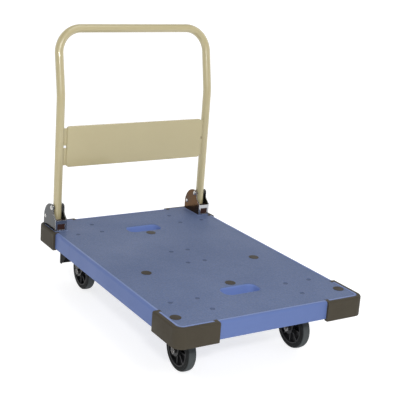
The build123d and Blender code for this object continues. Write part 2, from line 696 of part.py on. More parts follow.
# ------------------------------------------------------------------ casters

def bolt_plate(x, y, sheet_top, sheet):
    plate = Pos(x, y, sheet_top - sheet) * extrude(RectangleRounded(*PLATE_SIZE, PLATE_CORNER), sheet)
    for bolt_x, bolt_y in plate_bolt_places(x, y):
        plate -= disc(bolt_x, bolt_y, sheet_top - sheet - 1, sheet_top + 1, CASTER_BOLT_RADIUS)
    return plate


def fork_legs(x, outline, radii):
    legs = []
    for low_x in (x - FORK_GAP / 2 - FORK_SHEET, x + FORK_GAP / 2):
        legs.append(plate_yz(outline, radii, low_x, low_x + FORK_SHEET))
    return legs


def make_fixed_fork(x, y):
    crown_top = PAD_Z - PLATE_SHEET
    outline = [
        (y - 38, crown_top), (y - 38, crown_top - 14), (y - 16, AXLE_Z - 16), (y + 16, AXLE_Z - 16),
        (y + 38, crown_top - 14), (y + 38, crown_top),
    ]
    fork = bolt_plate(x, y, PAD_Z, PLATE_SHEET)
    reach = FORK_GAP / 2 + FORK_SHEET
    fork += box(x - reach, x + reach, y - 38, y + 38, crown_top - FORK_SHEET, crown_top)
    for leg in fork_legs(x, outline, [0, 10, 15.5, 15.5, 10, 0]):
        fork += leg
    return fork - rod_x(x - 40, x + 40, y, AXLE_Z, AXLE_RADIUS)


def make_swivel_plate(x, y):
    """The plate bolted to the deck, with the dish that holds the upper ball race."""
    under = PAD_Z - PLATE_SHEET
    plate = bolt_plate(x, y, PAD_Z, PLATE_SHEET)
    dish = disc(x, y, under - 4, under, SWIVEL_RADIUS)
    plate += dish
    groove = Pos(x, y, under - 4 - 1) * Torus(BALL_CIRCLE, BALL_RADIUS + RUNNING_GAP)
    plate -= groove
    plate -= disc(x, y, under - 5, PAD_Z + 1, KINGPIN_RADIUS)
    return plate


def ball_z():
    return PAD_Z - PLATE_SHEET - 5


def make_balls(x, y):
    balls = []
    for n in range(BALL_COUNT):
        turn = 2 * math.pi * n / BALL_COUNT
        centre = (x + BALL_CIRCLE * math.cos(turn), y + BALL_CIRCLE * math.sin(turn), ball_z())
        balls.append(Pos(*centre) * Sphere(BALL_RADIUS))
    return together(balls)


def make_swivel_fork(x, y):
    """A pressed fork: a round crown with the lower race, and two legs that lead back to the axle."""
    crown_top = ball_z() - 1
    crown_low = crown_top - 8
    pin_y, pin_z = y + BRAKE_PIN[0], BRAKE_PIN[1]
    axle_y = y + TRAIL
    outline = [
        (y - 24, crown_low + 4), (y - 26, crown_low - 8),
        (axle_y - 19, AXLE_Z - 6), (axle_y - 2, AXLE_Z - 18), (axle_y + 17, AXLE_Z - 4),
        (pin_y + 9, pin_z - 6), (pin_y + 5, pin_z + 9), (y + 30, crown_low + 4),
    ]
    radii = [0, 8, 14, 12, 14, 7, 6, 0]
    fork = disc(x, y, crown_low, crown_top, SWIVEL_RADIUS)
    reach = FORK_GAP / 2 + FORK_SHEET
    fork += box(x - reach, x + reach, y - 24, y + 30, crown_low, crown_low + 4)
    for leg in fork_legs(x, outline, radii):
        fork += leg
    fork -= Pos(x, y, ball_z()) * Torus(BALL_CIRCLE, BALL_RADIUS + RUNNING_GAP)
    fork -= disc(x, y, crown_low - 1, crown_top + 1, KINGPIN_RADIUS + RUNNING_GAP)
    fork -= rod_x(x - 40, x + 40, axle_y, AXLE_Z, AXLE_RADIUS)
    fork -= rod_x(x - 40, x + 40, pin_y, pin_z, BRAKE_PIN_RADIUS)
    return fork


def make_kingpin(x, y):
    """The swivel pin: riveted flush in the plate, with a flanged nut under the crown."""
    crown_low = ball_z() - 9
    pin = disc(x, y, crown_low - 8.3, PAD_Z, KINGPIN_RADIUS)
    flange = disc(x, y, crown_low - 2.3, crown_low - 0.3, 11)
    return pin + flange + hexagon(x, y, crown_low - 8.3, crown_low - 2.3, 17)


def make_brake_pin(x, y):
    reach = FORK_GAP / 2 + FORK_SHEET
    return riveted_pin(x, y + BRAKE_PIN[0], BRAKE_PIN[1], reach, BRAKE_PIN_RADIUS, BRAKE_PIN_HEAD)


def make_pedal(x, y):
    """A brake pedal: an eye on the pin, a shoe that bears on the tyre and a wide ribbed foot plate."""
    pin_y, pin_z = y + BRAKE_PIN[0], BRAKE_PIN[1]
    neck = 17.0
    tail_y = pin_y + 80
    wide_from = pin_y + 15
    eye = rod_x(x - FORK_GAP / 2 + 0.4, x + FORK_GAP / 2 - 0.4, pin_y, pin_z, 6.5)
    arm_outline = [
        (pin_y - 3, pin_z + 6), (pin_y + 14, pin_z + 7),
        (wide_from + 8, pin_z + 1), (wide_from + 8, pin_z - 14),
        (pin_y + 17, pin_z - 22), (pin_y + 10.5, pin_z - 20.5), (pin_y - 1, pin_z - 5),
    ]
    arm = plate_yz(arm_outline, [2, 6, 3, 2, 2, 2, 2], x - neck, x + neck)
    lip_z = pin_z - PEDAL_LIP_BELOW
    shell_outline = [
        (wide_from, pin_z + 7), (wide_from + 8, pin_z + 7),
        (tail_y, pin_z - 30), (tail_y, lip_z), (tail_y - 10, lip_z), (wide_from, pin_z - 16),
    ]
    shell = plate_yz(shell_outline, [2, 6, 8, 3, 3, 4], x - PEDAL_HALF_WIDTH, x + PEDAL_HALF_WIDTH)
    hollow_from = wide_from + PEDAL_SHEET
    hollow_to = tail_y - PEDAL_SHEET
    hollow_outline = [
        (hollow_from, pin_z + 3), (wide_from + 7, pin_z + 3), (hollow_to, pin_z - 32),
        (hollow_to, lip_z - 5), (hollow_from, lip_z - 5),
    ]
    inner = PEDAL_HALF_WIDTH - PEDAL_SHEET
    shell -= plate_yz(hollow_outline, [1, 4, 3, 0, 0], x - inner, x + inner)
    pedal = eye + arm + shell
    for n in range(4):
        rib_y = wide_from + 17 + n * 11
        drop = (rib_y - wide_from - 8) * 37 / (tail_y - wide_from - 8)
        pedal += rod_x(x - inner + 4, x + inner - 4, rib_y, pin_z + 7 - drop, 1.6)
    return pedal - rod_x(x - 40, x + 40, pin_y, pin_z, BRAKE_PIN_RADIUS + RUNNING_GAP)


def caster_fasteners():
    """The bolts come up through the plates, with their nuts inside the deck."""
    bolts = []
    nuts = []
    head_top = PAD_Z - PLATE_SHEET
    nut_low = PAD_Z + PAD_SKIN
    for x, y in caster_places():
        for bolt_x, bolt_y in plate_bolt_places(x, y):
            shank = disc(bolt_x, bolt_y, head_top, nut_low + 9, CASTER_BOLT_RADIUS)
            bolts.append(shank + hexagon(bolt_x, bolt_y, head_top - 5.3, head_top, 13))
            nut = hexagon(bolt_x, bolt_y, nut_low, nut_low + 6.5, 13)
            nuts.append(nut - disc(bolt_x, bolt_y, nut_low - 1, nut_low + 8, CASTER_BOLT_RADIUS))
    return together(bolts), together(nuts)


# ------------------------------------------------------------------ build

def build_wheel(prefix, x, y):
    save(f"{prefix}_tyre", make_tyre(x, y))
    save(f"{prefix}_hub", make_hub(x, y))
    save(f"{prefix}_bearing", make_bearing(x, y))
    save(f"{prefix}_axle_bolt", make_axle(x, y))


def main():
    os.makedirs("parts", exist_ok=True)
    save("deck", make_deck())
    for side_name, sx in SIDES.items():
        save(f"bumper_front_{side_name}", bumper(sx, -1))
        save(f"bumper_rear_{side_name}", bumper(sx, 1))
    save("bumper_screws", together([screw(x, y, direction) for x, y, direction in screw_places()]))
    save("grip_plugs", make_plugs())

    for name, side in SIDES.items():
        save(f"bracket_{name}", make_bracket(side))
        save(f"pivot_pin_{name}", headed_pin(side, PIVOT_Y, PIVOT_Z, PIVOT_PIN_RADIUS, PIVOT_HEAD))
        save(f"lock_pawl_{name}", make_pawl(side))
    lock_pins = [headed_pin(side, LOCK_Y, LOCK_Z, LOCK_PIN_RADIUS, LOCK_HEAD) for side in SIDES.values()]
    save("lock_pins", together(lock_pins))
    save("stop_blocks", make_stop_blocks())
    save("bracket_bolts", make_bracket_bolts())
    save("bracket_washers", make_backing_plates())
    save("bracket_nuts", make_bracket_nuts())

    save("handle_tube", make_handle_tube())
    save("handle_panel", make_panel())
    save("panel_tabs", make_tabs())
    save("leg_end_plugs", make_end_plugs())
    save("pivot_bushes", make_bushes())

    axle_nuts = []
    for name, side in SIDES.items():
        x = side * WHEEL_TRACK_HALF
        save(f"front_{name}_fork", make_fixed_fork(x, FRONT_PLATE_Y))
        build_wheel(f"front_{name}", x, FRONT_PLATE_Y)
        axle_nuts.append(make_axle_nut(x, FRONT_PLATE_Y))
        save(f"rear_{name}_plate", make_swivel_plate(x, REAR_PLATE_Y))
        save(f"rear_{name}_balls", make_balls(x, REAR_PLATE_Y))
        save(f"rear_{name}_kingpin", make_kingpin(x, REAR_PLATE_Y))
        save(f"rear_{name}_fork", make_swivel_fork(x, REAR_PLATE_Y))
        save(f"rear_{name}_brake_pin", make_brake_pin(x, REAR_PLATE_Y))
        save(f"rear_{name}_brake_pedal", make_pedal(x, REAR_PLATE_Y))
        save(f"rear_{name}_axle_nut", make_axle_nut(x, REAR_PLATE_Y + TRAIL))
        build_wheel(f"rear_{name}", x, REAR_PLATE_Y + TRAIL)
    save("front_axle_nuts", together(axle_nuts))
    bolts, nuts = caster_fasteners()
    save("caster_bolts", bolts)
    save("caster_nuts", nuts)


main()
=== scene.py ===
import math

import bmesh
import bpy
from mathutils import Matrix, Vector


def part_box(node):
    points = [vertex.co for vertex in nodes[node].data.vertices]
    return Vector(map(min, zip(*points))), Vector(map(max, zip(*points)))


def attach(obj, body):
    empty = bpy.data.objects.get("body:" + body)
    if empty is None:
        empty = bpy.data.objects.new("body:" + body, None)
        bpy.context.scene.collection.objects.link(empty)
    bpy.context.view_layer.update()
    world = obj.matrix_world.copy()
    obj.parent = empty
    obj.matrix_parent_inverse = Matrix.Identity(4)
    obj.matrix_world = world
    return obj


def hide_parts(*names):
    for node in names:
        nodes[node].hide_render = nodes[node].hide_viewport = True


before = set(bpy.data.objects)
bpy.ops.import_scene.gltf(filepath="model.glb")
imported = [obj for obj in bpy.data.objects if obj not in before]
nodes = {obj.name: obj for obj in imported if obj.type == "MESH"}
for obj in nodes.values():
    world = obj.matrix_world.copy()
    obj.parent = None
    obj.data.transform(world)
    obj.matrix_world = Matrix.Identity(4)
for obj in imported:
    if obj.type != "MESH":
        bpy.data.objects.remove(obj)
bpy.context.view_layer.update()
print("frame loaded:", len(nodes), "CAD nodes")


# ---- small helpers for finishes ----

def newFinish(name, colour, roughness, metallic=0.0, specular=0.5):
    finish = bpy.data.materials.new(name)
    finish.use_nodes = True
    tree = finish.node_tree
    shader = tree.nodes["Principled BSDF"]
    shader.inputs["Base Color"].default_value = (*colour, 1)
    shader.inputs["Roughness"].default_value = roughness
    shader.inputs["Metallic"].default_value = metallic
    shader.inputs["Specular IOR Level"].default_value = specular
    return finish, tree, shader


def add(tree, kind, **settings):
    node = tree.nodes.new(kind)
    for key, value in settings.items():
        setattr(node, key, value)
    return node


def coords(tree, stretch=(1, 1, 1)):
    where = add(tree, "ShaderNodeTexCoord")
    mapping = add(tree, "ShaderNodeMapping")
    mapping.inputs["Scale"].default_value = stretch
    tree.links.new(where.outputs["Object"], mapping.inputs["Vector"])
    return mapping.outputs["Vector"]


def noise(tree, vector, scale, detail=3.0, roughness=0.55):
    node = add(tree, "ShaderNodeTexNoise")
    node.inputs["Scale"].default_value = scale
    node.inputs["Detail"].default_value = detail
    node.inputs["Roughness"].default_value = roughness
    tree.links.new(vector, node.inputs["Vector"])
    return node.outputs["Fac"]


def cells(tree, vector, scale, feature="SMOOTH_F1"):
    node = add(tree, "ShaderNodeTexVoronoi", feature=feature)
    node.inputs["Scale"].default_value = scale
    tree.links.new(vector, node.inputs["Vector"])
    return node.outputs["Distance"]


def remap(tree, value, fromLow, fromHigh, toLow, toHigh, smooth=False):
    node = add(tree, "ShaderNodeMapRange")
    if smooth:
        node.interpolation_type = "SMOOTHSTEP"
    sockets = ("From Min", "From Max", "To Min", "To Max")
    for key, number in zip(sockets, (fromLow, fromHigh, toLow, toHigh)):
        node.inputs[key].default_value = number
    tree.links.new(value, node.inputs["Value"])
    return node.outputs["Result"]


def calculate(tree, operation, first, second):
    node = add(tree, "ShaderNodeMath", operation=operation)
    for slot, value in enumerate((first, second)):
        if isinstance(value, (int, float)):
            node.inputs[slot].default_value = value
        else:
            tree.links.new(value, node.inputs[slot])
    return node.outputs["Value"]


def magnitude(tree, value):
    return calculate(tree, "ABSOLUTE", value, 0)


def scaled(colour, amount):
    return tuple(channel * amount for channel in colour)


def mixColour(tree, amount, first, second):
    node = add(tree, "ShaderNodeMix", data_type="RGBA")
    tree.links.new(amount, node.inputs["Factor"])
    for key, value in (("A", first), ("B", second)):
        target = [i for i in node.inputs if i.name == key and i.type == "RGBA"][0]
        if isinstance(value, tuple):
            target.default_value = (*value, 1)
        else:
            tree.links.new(value, target)
    return [o for o in node.outputs if o.type == "RGBA"][0]


def roundedNormal(tree, radius):
    node = add(tree, "ShaderNodeBevel", samples=4)
    node.inputs["Radius"].default_value = radius
    return node.outputs["Normal"]


def edgeMask(tree, radius, gain=6.0):
    # bright where the rounded normal leaves the real one, so along edges only
    around = roundedNormal(tree, radius)
    facing = add(tree, "ShaderNodeNewGeometry")
    dot = add(tree, "ShaderNodeVectorMath", operation="DOT_PRODUCT")
    tree.links.new(around, dot.inputs[0])
    tree.links.new(facing.outputs["Normal"], dot.inputs[1])
    gap = calculate(tree, "SUBTRACT", 1.0, dot.outputs["Value"])
    return remap(tree, gap, 0.0, 1.0 / gain, 0.0, 1.0)


def bump(tree, height, strength, distance, normal=None):
    node = add(tree, "ShaderNodeBump")
    node.inputs["Strength"].default_value = strength
    node.inputs["Distance"].default_value = distance
    tree.links.new(height, node.inputs["Height"])
    if normal is not None:
        tree.links.new(normal, node.inputs["Normal"])
    return node.outputs["Normal"]


def wear(name, finish):
    for piece in [n for n in nodes if n == name or n.startswith(name)]:
        nodes[piece].data.materials.clear()
        nodes[piece].data.materials.append(finish)


# ---- moulded blue deck ----
deckSet = {
    "blue": (0.098, 0.146, 0.330),
    "fieldBlue": (0.097, 0.140, 0.270),   # the gripping field is greyer with scuffing
    "pocketPaintedLight": (0.160, 0.235, 0.500),  # painted light inside the grab pockets, a lighter blue that lifts the shade in the recesses
    "lipPaintedHighlight": (0.20, 0.26, 0.47),        # painted highlight along the raised border
    "wornBlue": (0.20, 0.26, 0.46),       # rubbed lighter along every edge
    "dentShadeBlue": (0.030, 0.042, 0.090),    # painted shade in the shallow dents
    "seamBlue": (0.04, 0.05, 0.09),
    "dust": (0.17, 0.185, 0.24),
    "grainSize": 0.0040,                  # one pimple of the gripping field
    "grainHeight": 0.0005,
    "roughness": 0.44,
    "fieldDrop": 0.0006,                  # the field lies this far under the smooth border
    "fieldTolerance": 0.0003,
    "dentDepth": 0.0002,                  # what lies deeper than this in the field is a dent
    "rimBand": 0.011,                     # smooth border round the field
    "pocketY": 0.288,                     # both pockets' centres lie this far from the middle
    "pocketHalf": (0.068, 0.031),         # half the space that each pocket takes up, across and along
    "seamY": 0.221,                       # thin parting line on the side faces
}


def makeDeckFinish():
    finish, tree, shader = newFinish("deckPlastic", deckSet["blue"], deckSet["roughness"], specular=0.20)
    links = tree.links
    vector = coords(tree)
    low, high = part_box("deck")
    fieldZ = high.z - deckSet["fieldDrop"]
    slack = deckSet["fieldTolerance"]
    where = add(tree, "ShaderNodeSeparateXYZ")
    links.new(vector, where.inputs["Vector"])
    height = where.outputs["Z"]
    wide = magnitude(tree, where.outputs["X"])
    long = magnitude(tree, where.outputs["Y"])
    above = calculate(tree, "GREATER_THAN", height, fieldZ - 0.0015)
    inside = calculate(tree, "MULTIPLY",
                       calculate(tree, "LESS_THAN", wide, high.x - deckSet["rimBand"]),
                       calculate(tree, "LESS_THAN", long, high.y - deckSet["rimBand"]))
    field = calculate(tree, "MULTIPLY", above, inside)
    below = calculate(tree, "LESS_THAN", height, fieldZ + slack)
    pitted = calculate(tree, "MULTIPLY", field, below)
    halfWide, halfLong = deckSet["pocketHalf"]
    fromPocket = magnitude(tree, calculate(tree, "SUBTRACT", long, deckSet["pocketY"]))
    nearPocket = calculate(tree, "MULTIPLY", calculate(tree, "LESS_THAN", wide, halfWide),
                           calculate(tree, "LESS_THAN", fromPocket, halfLong))
    sunk = calculate(tree, "MULTIPLY", nearPocket,
                     remap(tree, height, fieldZ - 0.004, fieldZ - 0.0008, 1.0, 0.0))

    patches = noise(tree, vector, 5.0, 5.0, 0.6)
    fine = noise(tree, vector, 260.0, 3.0, 0.6)
    scuffs = noise(tree, coords(tree, (9.0, 1.2, 1.0)), 14.0, 6.0, 0.7)
    body = mixColour(tree, remap(tree, patches, 0.3, 0.7, 0.0, 0.35), deckSet["blue"],
                     scaled(deckSet["blue"], 0.86))
    top = mixColour(tree, remap(tree, patches, 0.35, 0.7, 0.0, 0.5), deckSet["fieldBlue"],
                    scaled(deckSet["fieldBlue"], 0.84))
    top = mixColour(tree, remap(tree, scuffs, 0.60, 0.78, 0.0, 0.30), top, deckSet["dust"])
    grain = cells(tree, vector, 1.0 / deckSet["grainSize"])
    top = mixColour(tree, remap(tree, grain, 0.05, 0.6, 0.42, 0.0), top, deckSet["dust"])
    top = mixColour(tree, remap(tree, fine, 0.35, 0.65, 0.0, 0.45), top, scaled(deckSet["fieldBlue"], 0.6))
    colour = mixColour(tree, field, body, top)
    deep = calculate(tree, "LESS_THAN", height, fieldZ - deckSet["dentDepth"])
    dented = calculate(tree, "MULTIPLY", calculate(tree, "MULTIPLY", field, deep),
                       calculate(tree, "SUBTRACT", 1.0, nearPocket))
    # painted shade: the dents in the field are darkened
    dentShade = calculate(tree, "MULTIPLY", dented, remap(tree, fine, 0.3, 0.7, 0.35, 0.85))
    colour = mixColour(tree, dentShade, colour, deckSet["dentShadeBlue"])
    # painted highlight: the raised smooth border is lightened, as if it caught the light
    raised = calculate(tree, "GREATER_THAN", height, fieldZ + slack)
    lipHighlight = calculate(tree, "MULTIPLY", raised, remap(tree, fine, 0.3, 0.7, 0.2, 0.7))
    colour = mixColour(tree, lipHighlight, colour, deckSet["lipPaintedHighlight"])
    # painted light: the pockets' insides are lightened
    colour = mixColour(tree, sunk, colour, deckSet["pocketPaintedLight"])
    worn = calculate(tree, "MULTIPLY", edgeMask(tree, 0.0025), remap(tree, fine, 0.35, 0.65, 0.15, 0.7))
    colour = mixColour(tree, worn, colour, deckSet["wornBlue"])
    fromSeam = magnitude(tree, calculate(tree, "SUBTRACT", where.outputs["Y"], deckSet["seamY"]))
    outside = calculate(tree, "GREATER_THAN", wide, high.x - 0.003)
    seam = calculate(tree, "MULTIPLY", remap(tree, fromSeam, 0.0004, 0.0010, 1.0, 0.0), outside)
    colour = mixColour(tree, calculate(tree, "MULTIPLY", seam, 0.5), colour, deckSet["seamBlue"])
    links.new(colour, shader.inputs["Base Color"])

    rough = remap(tree, patches, 0.3, 0.7, deckSet["roughness"] - 0.05, deckSet["roughness"] + 0.08)
    rough = calculate(tree, "ADD", rough, calculate(tree, "MULTIPLY", field, 0.12))
    links.new(rough, shader.inputs["Roughness"])
    # the fine skin is everywhere, the pimples only in the field
    skin = bump(tree, fine, 0.10, 0.0003, roundedNormal(tree, 0.0012))
    pimples = calculate(tree, "MULTIPLY", remap(tree, grain, 0.0, 0.6, 1.0, 0.0), pitted)
    links.new(bump(tree, pimples, 0.85, deckSet["grainHeight"], skin), shader.inputs["Normal"])
    return finish


# ---- rubber: bumpers, plugs, stop blocks ----
rubberSet = {
    "bumper": (0.050, 0.042, 0.029),
    "plug": (0.036, 0.029, 0.020),
    "stop": (0.034, 0.014, 0.011),
    "bloom": (0.11, 0.10, 0.085),         # the pale film old rubber gets on its edges
}


def makeRubberFinish(name, colour, roughness=0.62):
    finish, tree, shader = newFinish(name, colour, roughness, specular=0.18)
    vector = coords(tree)
    clouds = noise(tree, vector, 12.0, 5.0, 0.6)
    fine = noise(tree, vector, 700.0, 3.0, 0.6)
    mottled = mixColour(tree, remap(tree, clouds, 0.3, 0.7, 0.0, 0.4), colour, scaled(colour, 0.75))
    film = calculate(tree, "MULTIPLY", edgeMask(tree, 0.0022), remap(tree, fine, 0.3, 0.7, 0.2, 0.6))
    tree.links.new(mixColour(tree, film, mottled, rubberSet["bloom"]), shader.inputs["Base Color"])
    tree.links.new(remap(tree, clouds, 0.3, 0.7, roughness - 0.06, roughness + 0.10),
                   shader.inputs["Roughness"])
    tree.links.new(bump(tree, fine, 0.22, 0.0003, roundedNormal(tree, 0.0010)), shader.inputs["Normal"])
    return finish


# ---- beige powder coat: handle, panel, tabs, welds ----
coatSet = {
    "beige": (0.425, 0.368, 0.205),
    "shade": (0.365, 0.310, 0.165),
    "chip": (0.20, 0.18, 0.15),
    "roughness": 0.36,
}


def makeCoatFinish():
    finish, tree, shader = newFinish("handleCoat", coatSet["beige"], coatSet["roughness"])
    shader.inputs["Coat Weight"].default_value = 0.9
    shader.inputs["Coat Roughness"].default_value = 0.09
    vector = coords(tree)
    clouds = noise(tree, vector, 6.0, 4.0, 0.55)
    peel = noise(tree, vector, 420.0, 2.0, 0.5)
    specks = noise(tree, vector, 150.0, 6.0, 0.75)
    colour = mixColour(tree, remap(tree, clouds, 0.3, 0.7, 0.0, 0.35), coatSet["beige"], coatSet["shade"])
    chips = calculate(tree, "MULTIPLY", edgeMask(tree, 0.0012, 4.0),
                      remap(tree, specks, 0.60, 0.66, 0.0, 0.8))
    tree.links.new(mixColour(tree, chips, colour, coatSet["chip"]), shader.inputs["Base Color"])
    tree.links.new(remap(tree, clouds, 0.3, 0.7, coatSet["roughness"] - 0.04, coatSet["roughness"] + 0.06),
                   shader.inputs["Roughness"])
    tree.links.new(bump(tree, peel, 0.10, 0.0002, roundedNormal(tree, 0.0009)), shader.inputs["Normal"])
    return finish


# ---- zinc plate: brackets, pins, bolts, pawls, balls ----
zincSet = {
    "bright": (0.045, 0.051, 0.056),
    "dull": (0.26, 0.262, 0.265),
    "tarnish": (0.085, 0.062, 0.046),
    "edge": (0.85, 0.85, 0.84),           # painted highlight along every sheared edge
    "brownReflection": (0.092, 0.042, 0.012),       # painted brown reflection on the cheeks' inward faces
    "front": (0.42, 0.43, 0.45),          # the front walls, lighter than the rest of the bracket
    "pin": (0.62, 0.62, 0.61),
    "ball": (0.50, 0.50, 0.51),
    "caster": (0.085, 0.085, 0.085),      # the casters' bolts and nuts have gone dark
    "faceDepth": 0.0005,                  # how far in from a bracket's face its tint still shows
}


def tintBracketFaces(tree, tint, clouds):
    # the left bracket's bounds serve for both, since the two mirror each other
    low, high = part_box("bracket_left")
    where = add(tree, "ShaderNodeSeparateXYZ")
    tree.links.new(coords(tree), where.inputs["Vector"])
    depth = zincSet["faceDepth"]
    # painted reflection: a blotchy brown on the cheeks' inward faces, standing in for the warm
    # surroundings they mirror
    inward = calculate(tree, "LESS_THAN", magnitude(tree, where.outputs["X"]), -high.x + depth)
    reflectionPatches = calculate(tree, "MULTIPLY", inward, remap(tree, clouds, 0.30, 0.55, 0.55, 1.0))
    tint = mixColour(tree, reflectionPatches, tint, zincSet["brownReflection"])
    forward = calculate(tree, "LESS_THAN", where.outputs["Y"], low.y + depth)
    return mixColour(tree, forward, tint, zincSet["front"])


def makeZincFinish(name, colour, roughness, streak=0.05, faceTints=False):
    finish, tree, shader = newFinish(name, colour, roughness, metallic=1.0)
    vector = coords(tree)
    spangle = cells(tree, vector, 160.0, "F1")
    clouds = noise(tree, vector, 26.0, 5.0, 0.6)
    rolled = noise(tree, coords(tree, (40.0, 40.0, 900.0)), 1.0, 3.0, 0.6)
    tint = mixColour(tree, remap(tree, clouds, 0.40, 0.75, 0.0, 0.6), colour, zincSet["tarnish"])
    if faceTints:
        tint = tintBracketFaces(tree, tint, clouds)
    # painted highlight: every edge is mixed towards near-white
    tint = mixColour(tree, edgeMask(tree, 0.0020, 3.0), tint, zincSet["edge"])
    tree.links.new(tint, shader.inputs["Base Color"])
    uneven = calculate(tree, "ADD", remap(tree, clouds, 0.3, 0.7, roughness - 0.04, roughness + 0.10),
                       remap(tree, spangle, 0.0, 0.6, 0.0, streak))
    tree.links.new(uneven, shader.inputs["Roughness"])
    height = calculate(tree, "ADD", rolled, calculate(tree, "MULTIPLY", spangle, 0.4))
    tree.links.new(bump(tree, height, 0.12, 0.00015, roundedNormal(tree, 0.0010)), shader.inputs["Normal"])
    return finish


# ---- casters: black paint, black mouldings, grey tyres ----
casterSet = {
    "paint": (0.007, 0.007, 0.008),
    "paintEdge": (0.16, 0.15, 0.14),
    "moulding": (0.010, 0.010, 0.011),
    "tyre": (0.050, 0.057, 0.059),
    "tyreWall": (0.008, 0.009, 0.009),    # the walls stay black, only the tread greys
    "tyreDust": (0.12, 0.118, 0.112),
    "bearing": (0.060, 0.060, 0.058),
}


def makePaintFinish():
    finish, tree, shader = newFinish("forkPaint", casterSet["paint"], 0.28, specular=0.2)
    shader.inputs["Coat Weight"].default_value = 0.15
    shader.inputs["Coat Roughness"].default_value = 0.06
    vector = coords(tree)
    clouds = noise(tree, vector, 30.0, 4.0, 0.6)
    specks = noise(tree, vector, 240.0, 6.0, 0.75)
    peel = noise(tree, vector, 350.0, 2.0, 0.5)
    worn = calculate(tree, "MULTIPLY", edgeMask(tree, 0.0010, 4.0),
                     remap(tree, specks, 0.5, 0.62, 0.0, 0.8))
    colour = mixColour(tree, worn, casterSet["paint"], casterSet["paintEdge"])
    tree.links.new(colour, shader.inputs["Base Color"])
    tree.links.new(remap(tree, clouds, 0.3, 0.7, 0.18, 0.34), shader.inputs["Roughness"])
    tree.links.new(bump(tree, peel, 0.10, 0.0002, roundedNormal(tree, 0.0009)), shader.inputs["Normal"])
    return finish


def makeMouldingFinish(name, colour, roughness, specular=0.25):
    finish, tree, shader = newFinish(name, colour, roughness, specular=specular)
    vector = coords(tree)
    clouds = noise(tree, vector, 20.0, 4.0, 0.6)
    spark = cells(tree, vector, 900.0, "F1")
    tree.links.new(mixColour(tree, remap(tree, clouds, 0.35, 0.7, 0.0, 0.5), colour,
                             scaled(colour, 1.7)), shader.inputs["Base Color"])
    tree.links.new(remap(tree, clouds, 0.3, 0.7, roughness - 0.05, roughness + 0.10),
                   shader.inputs["Roughness"])
    tree.links.new(bump(tree, spark, 0.20, 0.0002, roundedNormal(tree, 0.0008)), shader.inputs["Normal"])
    return finish


def makeTyreFinish():
    finish, tree, shader = newFinish("tyreRubber", casterSet["tyre"], 0.70, specular=0.15)
    vector = coords(tree)
    clouds = noise(tree, vector, 22.0, 5.0, 0.65)
    fine = noise(tree, vector, 500.0, 4.0, 0.65)
    dusty = calculate(tree, "MULTIPLY", remap(tree, clouds, 0.45, 0.75, 0.0, 0.5),
                      remap(tree, fine, 0.3, 0.7, 0.4, 1.0))
    facing = add(tree, "ShaderNodeSeparateXYZ")
    tree.links.new(add(tree, "ShaderNodeTexCoord").outputs["Normal"], facing.inputs["Vector"])
    # the wheels turn about X, so a normal along X is a wall's
    tread = remap(tree, magnitude(tree, facing.outputs["X"]), 0.35, 0.85, 1.0, 0.0)
    rubber = mixColour(tree, tread, casterSet["tyreWall"], casterSet["tyre"])
    colour = mixColour(tree, calculate(tree, "MULTIPLY", dusty, tread), rubber, casterSet["tyreDust"])
    tree.links.new(colour, shader.inputs["Base Color"])
    tree.links.new(remap(tree, clouds, 0.3, 0.7, 0.62, 0.82), shader.inputs["Roughness"])
    tree.links.new(bump(tree, fine, 0.30, 0.0004), shader.inputs["Normal"])
    return finish


deckPlastic = makeDeckFinish()
bumperRubber = makeRubberFinish("bumperRubber", rubberSet["bumper"])
plugRubber = makeRubberFinish("plugRubber", rubberSet["plug"], 0.55)
stopRubber = makeRubberFinish("stopRubber", rubberSet["stop"], 0.5)
handleCoat = makeCoatFinish()
bracketZinc = makeZincFinish("bracketZinc", zincSet["bright"], 0.12, 0.02, faceTints=True)
pinZinc = makeZincFinish("pinZinc", zincSet["pin"], 0.16)
dullZinc = makeZincFinish("dullZinc", zincSet["dull"], 0.30, 0.10)
ballSteel = makeZincFinish("ballSteel", zincSet["ball"], 0.10, 0.02)
forkPaint = makePaintFinish()
blackMoulding = makeMouldingFinish("blackMoulding", casterSet["moulding"], 0.36)
pedalMoulding = makeMouldingFinish("pedalMoulding", casterSet["moulding"], 0.62, 0.08)
bearingPlastic = makeMouldingFinish("bearingPlastic", casterSet["bearing"], 0.5)
casterZinc = makeZincFinish("casterZinc", zincSet["caster"], 0.22, 0.06)
tyreRubber = makeTyreFinish()

wear("deck", deckPlastic)
wear("bumper_", bumperRubber)
wear("grip_plugs", plugRubber)
wear("stop_blocks", stopRubber)
for name in ("handle_tube", "handle_panel", "panel_tabs"):
    wear(name, handleCoat)
for name in ("bracket_left", "bracket_right"):
    wear(name, bracketZinc)
for name in ("pivot_pin", "lock_pins"):
    wear(name, pinZinc)
for name in ("bumper_screws", "lock_pawl", "bracket_bolts", "bracket_washers", "bracket_nuts",
             "caster_bolts", "caster_nuts", "front_axle_nuts"):
    wear(name, dullZinc)
wear("leg_end_plugs", blackMoulding)
wear("pivot_bushes", bearingPlastic)
for side in ("left", "right"):
    for name in (f"front_{side}_fork", f"rear_{side}_fork", f"rear_{side}_plate"):
        wear(name, forkPaint)
    for name in (f"rear_{side}_kingpin", f"rear_{side}_brake_pin", f"rear_{side}_axle_nut"):
        wear(name, casterZinc)
    wear(f"rear_{side}_balls", ballSteel)
    wear(f"rear_{side}_brake_pedal", pedalMoulding)
    for end in ("front", "rear"):
        wear(f"{end}_{side}_tyre", tyreRubber)
        wear(f"{end}_{side}_hub", blackMoulding)
        wear(f"{end}_{side}_bearing", bearingPlastic)
        wear(f"{end}_{side}_axle_bolt", casterZinc)
print("finishes done")


# ---- mesh helpers ----

def meshPiece(name, maker, finish, body):
    mesh = bpy.data.meshes.new(name)
    work = bmesh.new()
    maker(work)
    bmesh.ops.recalc_face_normals(work, faces=work.faces)
    for face in work.faces:
        face.smooth = True
    work.to_mesh(mesh)
    work.free()
    piece = bpy.data.objects.new(name, mesh)
    bpy.context.scene.collection.objects.link(piece)
    mesh.materials.append(finish)
    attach(piece, body)
    return piece


